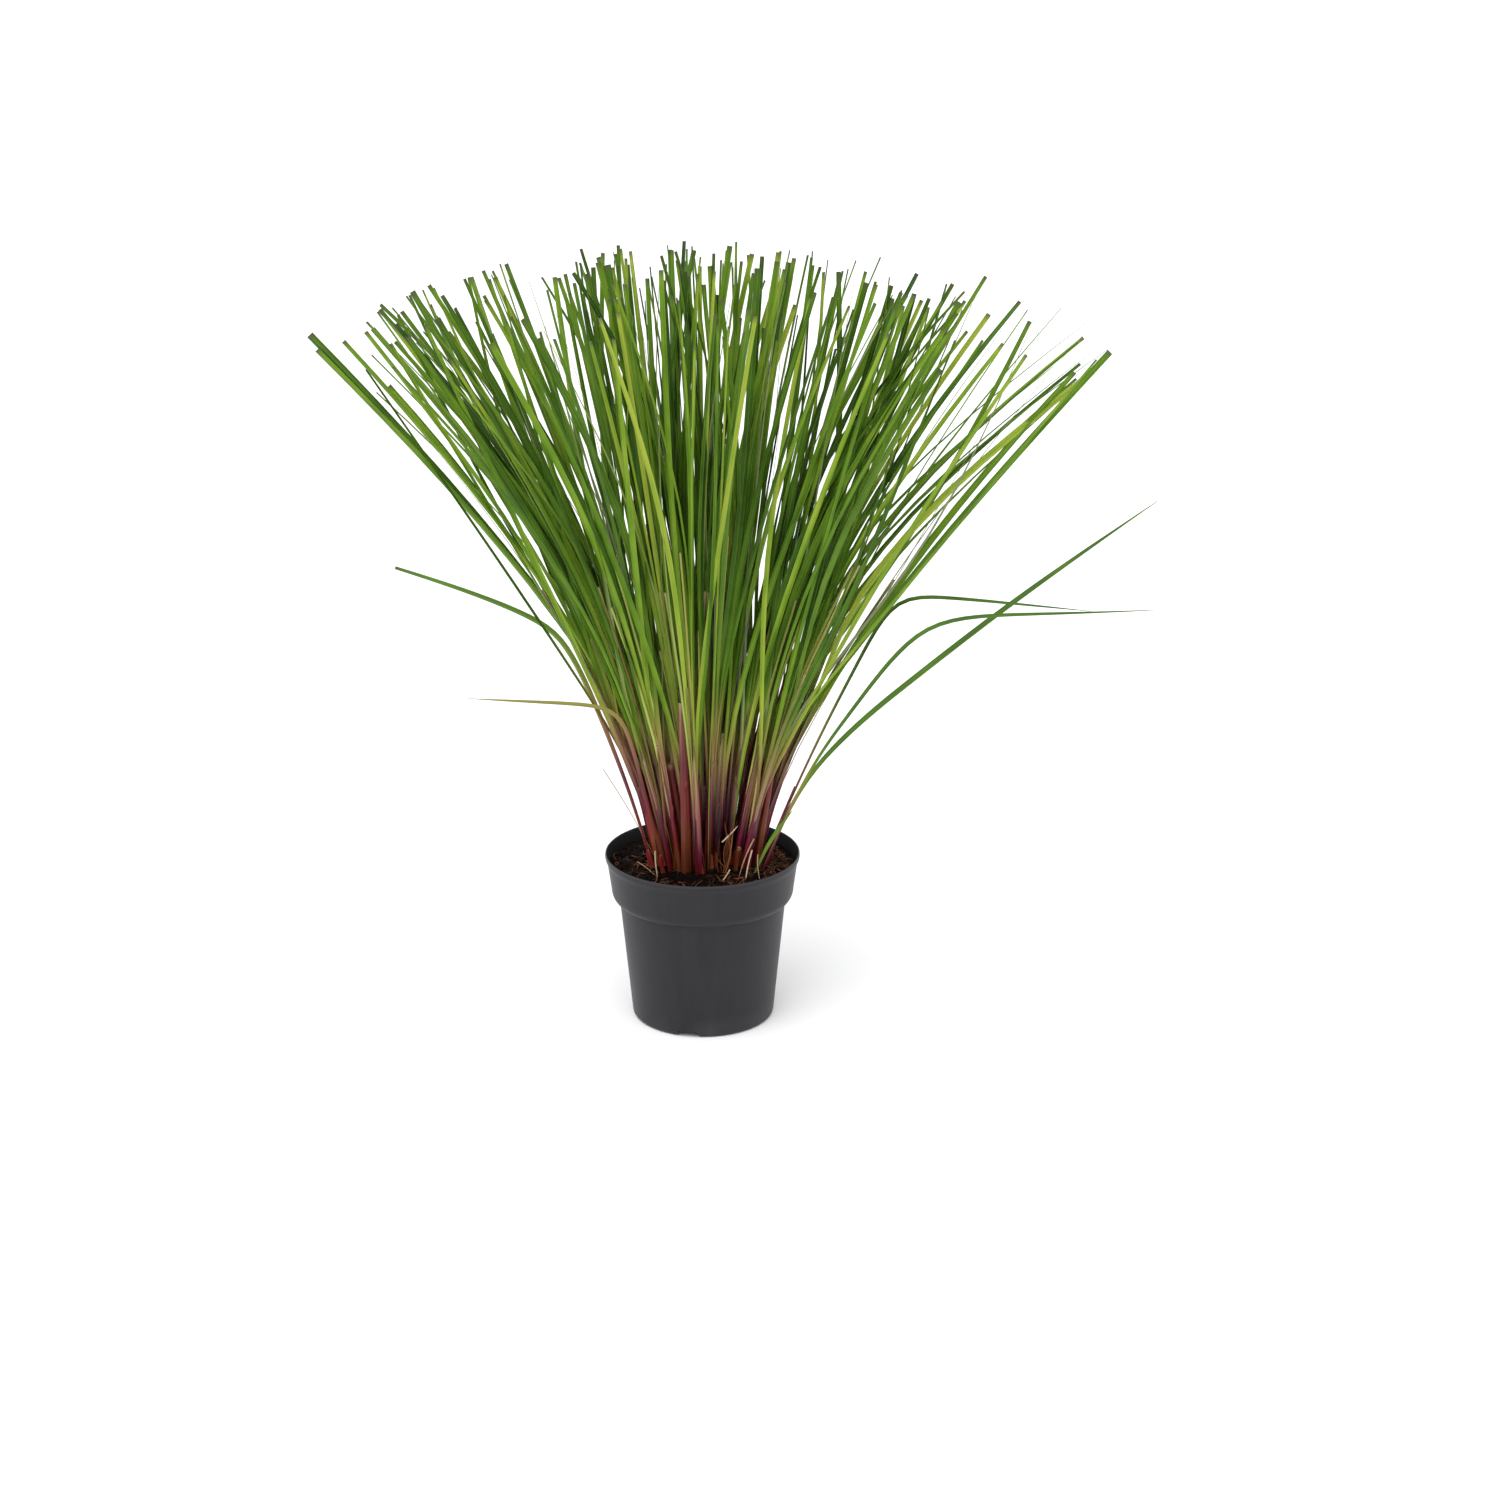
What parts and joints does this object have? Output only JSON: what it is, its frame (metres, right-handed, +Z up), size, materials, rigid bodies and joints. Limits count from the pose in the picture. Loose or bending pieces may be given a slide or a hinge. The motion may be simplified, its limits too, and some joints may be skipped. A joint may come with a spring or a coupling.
{
  "type": "potted ornamental grass clump",
  "caption": "Upright fan-shaped clump of narrow trimmed grass blades with purple-red bases, growing in peat soil in a round charcoal plastic nursery pot.",
  "frame": {"origin": "middle of the pot's flat underside, on the surface that it stands on", "axes": "+Z up along the pot's axis, +X to the right across the wide fan of blades, -Y towards the front"},
  "size_m": [0.6994, 0.3707, 0.6749],
  "materials": {
    "nursery_plastic": "satin",
    "peat_soil": "matte",
    "grass_blade": "satin",
    "sheath": "satin"
  },
  "bodies": {
    "root": {"blade_left_low": "grass_blade", "blade_left_mid": "grass_blade", "blade_right_droop": "grass_blade", "blade_right_high": "grass_blade", "blade_right_mid": "grass_blade", "blade_right_short": "grass_blade", "cut_stem_1": "sheath", "cut_stem_2": "sheath", "cut_stem_3": "sheath", "cut_stem_4": "sheath", "cut_stem_5": "sheath", "cut_stem_6": "sheath", "pot": "nursery_plastic", "soil": "peat_soil", "tiller_01": "grass_blade", "tiller_02": "grass_blade", "tiller_03": "grass_blade", "tiller_04": "grass_blade", "tiller_05": "grass_blade", "tiller_06": "grass_blade", "tiller_07": "grass_blade", "tiller_08": "grass_blade", "tiller_09": "grass_blade", "tiller_10": "grass_blade", "tiller_11": "grass_blade", "tiller_12": "grass_blade", "tiller_13": "grass_blade", "tiller_14": "grass_blade", "tiller_15": "grass_blade", "tiller_16": "grass_blade", "tiller_17": "grass_blade", "tiller_18": "grass_blade", "tiller_19": "grass_blade", "tiller_20": "grass_blade", "tiller_21": "grass_blade", "tiller_22": "grass_blade", "tiller_23": "grass_blade", "tiller_24": "grass_blade", "tiller_25": "grass_blade", "tiller_26": "grass_blade", "tiller_27": "grass_blade", "tiller_28": "grass_blade", "tiller_29": "grass_blade", "tiller_30": "grass_blade", "tiller_31": "grass_blade", "tiller_32": "grass_blade", "tiller_33": "grass_blade", "tiller_34": "grass_blade", "tiller_35": "grass_blade", "tiller_36": "grass_blade", "tiller_37": "grass_blade", "tiller_38": "grass_blade", "tiller_39": "grass_blade", "tiller_40": "grass_blade", "tiller_41": "grass_blade", "tiller_42": "grass_blade"}
  },
  "joints": []
}
